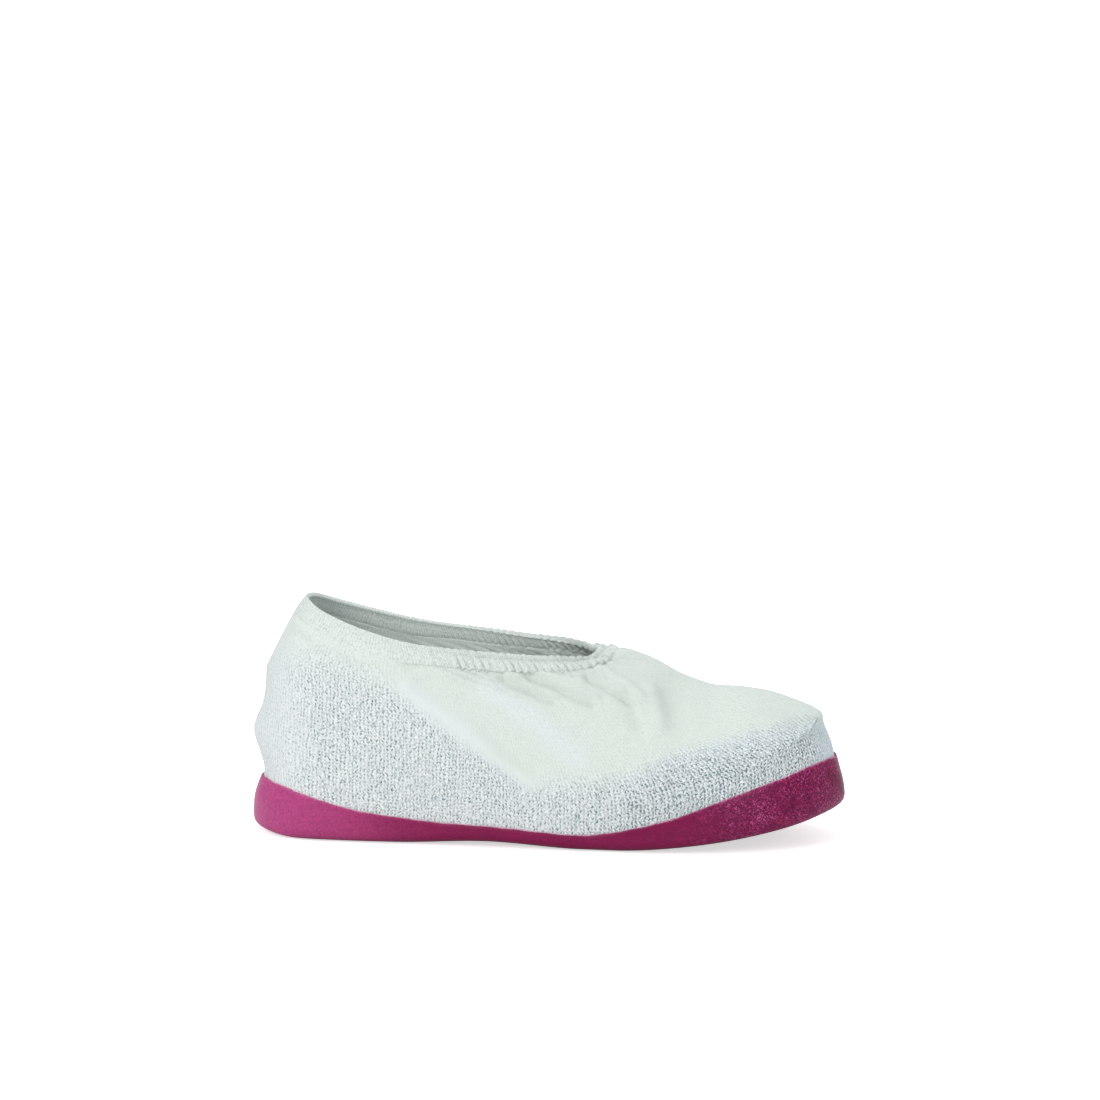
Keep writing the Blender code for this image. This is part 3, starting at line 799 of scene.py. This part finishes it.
def knitMaterial(name, strength=1.0, dyed=0.0):
    # A bead of yarn for each stitch, in columns, with small uneven pits between the columns: bumped in
    # relief, with a painted highlight on each bead and painted shade in each pit
    s = knitSettings
    material, tree, shader = nodeTree(name)
    spot = addNode(tree, "ShaderNodeTexCoord").outputs["Object"]
    parts = addNode(tree, "ShaderNodeSeparateXYZ", [(0, addNode(tree, "ShaderNodeUVMap").outputs[0])])
    warp = noise(tree, spot, s["slipScale"])
    patches = noise(tree, spot, s["patchScale"], 3.0)
    pull = noise(tree, spot, s["leanScale"], 1.0)
    slip = calc(tree, "MULTIPLY_ADD", warp, s["slip"], -0.5 * s["slip"])
    x = calc(tree, "ADD", parts.outputs[0], slip)
    y = calc(tree, "SUBTRACT", parts.outputs[1], slip)
    across = calc(tree, "ABSOLUTE", calc(tree, "SUBTRACT", calc(tree, "FRACT", x), 0.5))
    up = calc(tree, "ADD", y, calc(tree, "MULTIPLY", across, s["slant"]))
    column = calc(tree, "COSINE", calc(tree, "MULTIPLY", across, math.pi))
    wave = calc(tree, "ABSOLUTE", calc(tree, "SINE", calc(tree, "MULTIPLY", up, math.pi)))
    bead = calc(tree, "MULTIPLY", calc(tree, "POWER", column, 1.6), calc(tree, "POWER", wave, 0.5))
    # Each pit has its own small offset and depth
    acrossPit, upPit = calc(tree, "ADD", x, 0.5), calc(tree, "ADD", up, 0.5)
    corner = [(k, calc(tree, "FLOOR", value)) for k, value in enumerate((acrossPit, upPit))]
    cell = addNode(tree, "ShaderNodeCombineXYZ", corner)
    lot = addNode(tree, "ShaderNodeTexWhiteNoise", [("Vector", cell.outputs[0])], noise_dimensions="2D")
    lots = addNode(tree, "ShaderNodeSeparateXYZ", [(0, lot.outputs["Color"])])
    offX = calc(tree, "MULTIPLY_ADD", lots.outputs[0], s["jitter"], -0.5 - s["jitter"] / 2)
    offY = calc(tree, "MULTIPLY_ADD", lots.outputs[1], s["jitter"], -0.5 - s["jitter"] / 2)
    farY = calc(tree, "ADD", calc(tree, "FRACT", upPit), offY)
    lean = calc(tree, "MULTIPLY", calc(tree, "MULTIPLY_ADD", pull, s["lean"], -0.5 * s["lean"]), farY)
    farX = calc(tree, "ADD", calc(tree, "ADD", calc(tree, "FRACT", acrossPit), offX), lean)
    farX = calc(tree, "DIVIDE", farX, s["pitWidth"])
    farY = calc(tree, "DIVIDE", farY, s["pitHeight"])
    far = calc(tree, "ADD", calc(tree, "MULTIPLY", farX, farX), calc(tree, "MULTIPLY", farY, farY))
    hole = ramp(tree, far, 1.2, 0.0)
    depth = calc(tree, "MULTIPLY", hole, calc(tree, "MULTIPLY_ADD", lots.outputs[2], 0.75, 0.25))
    specks = noise(tree, spot, s["speckScale"])
    speck = calc(tree, "MULTIPLY_ADD", specks, s["speckDepth"], -0.5 * s["speckDepth"])
    # Colour: cloth with its painted cool tint, then the beads' painted highlight, then the pits' painted
    # shade
    # how strongly the stitches' relief and their painted highlights and shade show
    here = calc(tree, "MULTIPLY", attribute(tree, "stitchReliefAndShade"), strength)
    uneven = calc(tree, "MULTIPLY", calc(tree, "MULTIPLY_ADD", patches, 0.9, 0.5), here)
    along = addNode(tree, "ShaderNodeSeparateXYZ", [(0, spot)]).outputs[0]
    # painted cool shade low on the sides, turning darker and bluer round the toe
    low = blend(tree, ramp(tree, along, *s["toeFrom"]), s["coolLightColour"], s["toeShadeColour"])
    colour = blend(tree, attribute(tree, "coolLightShare"), s["colour"], low)
    # painted highlight on each bead, broken by specks
    highlightShare = calc(tree, "MULTIPLY", calc(tree, "SUBTRACT", bead, speck), uneven)
    colour = blend(tree, held(tree, highlightShare), colour, s["yarnHighlight"])
    # painted shade in each pit, with specks
    darkToneAndShade = calc(tree, "MULTIPLY", calc(tree, "ADD", depth, speck), uneven)
    colour = blend(tree, held(tree, darkToneAndShade), colour, s["pit"])
    if dyed:  # the dip leaves a broken pink line on the first stitches above it
        fringe = ramp(tree, calc(tree, "ABSOLUTE", parts.outputs[1]), *s["dyeReach"])
        broken = calc(tree, "MULTIPLY", fringe, calc(tree, "MULTIPLY_ADD", specks, 4.0, -1.3))
        colour = blend(tree, held(tree, calc(tree, "MULTIPLY", broken, dyed)), colour, s["dye"])
    tree.links.new(colour, shader.inputs["Base Color"])
    raised = calc(tree, "MULTIPLY", calc(tree, "SUBTRACT", bead, calc(tree, "MULTIPLY", depth, 0.6)), here)
    fuzz = calc(tree, "MULTIPLY", noise(tree, spot, s["fuzzScale"], 4.0), s["fuzz"])
    height = calc(tree, "ADD", raised, fuzz)
    bump = addNode(tree, "ShaderNodeBump", [("Height", height)], Strength=0.8, Distance=s["stitchHeight"])
    tree.links.new(bump.outputs[0], shader.inputs["Normal"])
    shader.inputs["Roughness"].default_value = s["roughness"]
    shader.inputs["Sheen Weight"].default_value = s["sheen"]
    shader.inputs["Sheen Roughness"].default_value = s["sheenRoughness"]
    return material


rubberSettings = {
    # painted light: the paler pink of the heel
    "heelLightColour": linear(194, 78, 139),
    "colour": linear(145, 20, 76),
    # darker tone, laid at random and as painted shade towards the toe
    "darkToneAndShade": linear(92, 2, 58),
    "thin": linear(206, 96, 150),
    "glint": linear(198, 84, 146),
    "roughness": 0.36,
    "specular": 0.16,
    "coat": 0.08,
    "coatRoughness": 0.2,
    "grainScale": 900.0,
    "grainDepth": 0.8 * mm,
    "glintScale": 1150.0,
    "patchScale": 70.0,  # of places where the pebbles show
    "unevenScale": 140.0,
    "toneScale": 28.0,
    # Strength of each pattern and what is added to it
    "patchContrast": (3.6, -1.1),
    "grainContrast": (-4.4, 2.2),
    "toneContrast": (0.5, -0.1),
    "glintContrast": (9.0, -4.9),
    "thinContrast": (5.0, -1.8),
    # the pebbled toe with its painted shade: where along the foot it comes in
    "toeFrom": (0.06, 0.125),  # where along the foot the pebbled toe comes in
    # where the painted light on the heel comes in
    "heelFrom": (-0.03, -0.15),  # and the paler heel
}


def rubberMaterial():
    # Glossy dipped rubber, with painted light that makes it paler at the heel and painted shade that darkens
    # it towards the toe, and the knit showing through as fine pebbles towards the toe
    s = rubberSettings
    material, tree, shader = nodeTree("dippedRubber")
    spot = addNode(tree, "ShaderNodeTexCoord").outputs["Object"]
    along = addNode(tree, "ShaderNodeSeparateXYZ", [(0, spot)]).outputs[0]
    toe = ramp(tree, along, *s["toeFrom"])
    heel = ramp(tree, along, *s["heelFrom"])
    grain = noise(tree, spot, s["grainScale"])
    patches = noise(tree, spot, s["patchScale"])
    here = calc(tree, "MULTIPLY", toe, calc(tree, "MULTIPLY_ADD", patches, *s["patchContrast"]))
    height = calc(tree, "MULTIPLY", grain, calc(tree, "MULTIPLY_ADD", held(tree, here), 0.35, 0.1))
    uneven = calc(tree, "MULTIPLY", noise(tree, spot, s["unevenScale"], 4.0), 0.15)
    height = calc(tree, "ADD", height, uneven)
    bump = addNode(tree, "ShaderNodeBump", [("Height", height)], Strength=0.9, Distance=s["grainDepth"])
    tree.links.new(bump.outputs[0], shader.inputs["Normal"])
    colour = blend(tree, heel, s["colour"], s["heelLightColour"])
    speck = calc(tree, "MULTIPLY_ADD", grain, *s["grainContrast"])
    speck = calc(tree, "MULTIPLY", speck, calc(tree, "MULTIPLY_ADD", toe, 0.8, 0.2))
    tone = calc(tree, "MULTIPLY_ADD", noise(tree, spot, s["toneScale"]), *s["toneContrast"])
    share = calc(tree, "ADD", tone, speck)
    # painted light: less dark at the heel
    share = calc(tree, "ADD", share, calc(tree, "MULTIPLY_ADD", heel, -0.3, 0.3))
    # painted shade: darker towards the toe
    share = calc(tree, "ADD", share, calc(tree, "MULTIPLY", toe, 0.25))
    colour = blend(tree, held(tree, share), colour, s["darkToneAndShade"])
    glints = noise(tree, spot, s["glintScale"], 1.0, 1.2)
    glint = calc(tree, "MULTIPLY_ADD", glints, *s["glintContrast"])
    glint = calc(tree, "MULTIPLY", glint, held(tree, here))
    colour = blend(tree, held(tree, glint), colour, s["glint"])
    # The film of rubber thins to a pale broken line where the dip ends
    broken = calc(tree, "MULTIPLY_ADD", grain, *s["thinContrast"])
    thin = calc(tree, "MULTIPLY", attribute(tree, "thinEdge"), broken)
    colour = blend(tree, held(tree, thin), colour, s["thin"])
    tree.links.new(colour, shader.inputs["Base Color"])
    shader.inputs["Roughness"].default_value = s["roughness"]
    shader.inputs["Specular IOR Level"].default_value = s["specular"]
    shader.inputs["Coat Weight"].default_value = s["coat"]
    shader.inputs["Coat Roughness"].default_value = s["coatRoughness"]
    return material


def dress(piece, material, node):
    piece.data.materials.clear()
    piece.data.materials.append(material)
    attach(piece, "root")
    if node:
        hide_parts(node)
    print("overshoe:", piece.name, len(piece.data.polygons), "faces")


knit = knitMaterial("offWhiteKnit", dyed=1.0)
hemKnit = knitMaterial("gatheredKnit", 0.8)
dress(makeUpper(), knit, "upper")
dress(makeHem(), hemKnit, "elastic_hem")
dress(makeSole(), rubberMaterial(), "sole")

# Plain pale floor, which turns up into a backdrop far behind
studioSettings = {
    "floor": linear(250, 250, 250),
    "glow": 0.6,  # so that the floor shows white
    "width": 12,
    "front": 5,
    "back": 2.2,  # where the floor starts to turn up
    "rise": 1.5,  # radius of that turn
    "sky": (0.95, 0.985, 1.0, 1.0),
    "skyStrength": 0.46,
    "lights": (
        ("key", (-0.95, -1.3, 1.0), 0.8, 12),
        ("fill", (0.8, -1.5, 0.6), 1.0, 5.0),
        ("top", (0.0, 0.2, 1.7), 1.2, 9.5),
        ("back", (0.7, 1.5, 0.9), 1.0, 5.0),
    ),
}


def makeStudio():
    s = studioSettings
    deselectAll()
    bpy.ops.mesh.primitive_grid_add(x_subdivisions=2, y_subdivisions=60, size=1)
    floor = bpy.context.object
    floor.name = "floor"
    for v in floor.data.vertices:
        along = v.co.y + 0.5
        x = v.co.x * s["width"]
        y = -s["front"] + along * (s["front"] + s["back"] + s["rise"] * 4)
        bend = max(0.0, y - s["back"])
        turn = min(bend / s["rise"], math.pi / 2)
        rest = max(0.0, bend - s["rise"] * math.pi / 2)
        v.co = (x, min(y, s["back"]) + s["rise"] * math.sin(turn), s["rise"] * (1 - math.cos(turn)) + rest)
    bpy.ops.object.shade_smooth()
    material, tree, shader = nodeTree("paleFloor")
    shader.inputs["Base Color"].default_value = s["floor"]
    shader.inputs["Roughness"].default_value = 0.8
    shader.inputs["Emission Color"].default_value = (1, 1, 1, 1)
    seen = addNode(tree, "ShaderNodeLightPath").outputs["Is Camera Ray"]
    tree.links.new(calc(tree, "MULTIPLY", seen, s["glow"]), shader.inputs["Emission Strength"])
    floor.data.materials.append(material)
    world = bpy.data.worlds.new("world")
    scene.world = world
    world.use_nodes = True
    world.node_tree.nodes["Background"].inputs["Color"].default_value = s["sky"]
    world.node_tree.nodes["Background"].inputs["Strength"].default_value = s["skyStrength"]
    for name, at, size, power in s["lights"]:
        data = bpy.data.lights.new(name, "AREA")
        data.size = size
        data.energy = power
        lamp = bpy.data.objects.new(name, data)
        scene.collection.objects.link(lamp)
        lamp.location = at
        lamp.rotation_euler = (Vector((0, 0, 0.05)) - lamp.location).to_track_quat("-Z", "Y").to_euler()


makeStudio()
scene.view_settings.view_transform = "Standard"
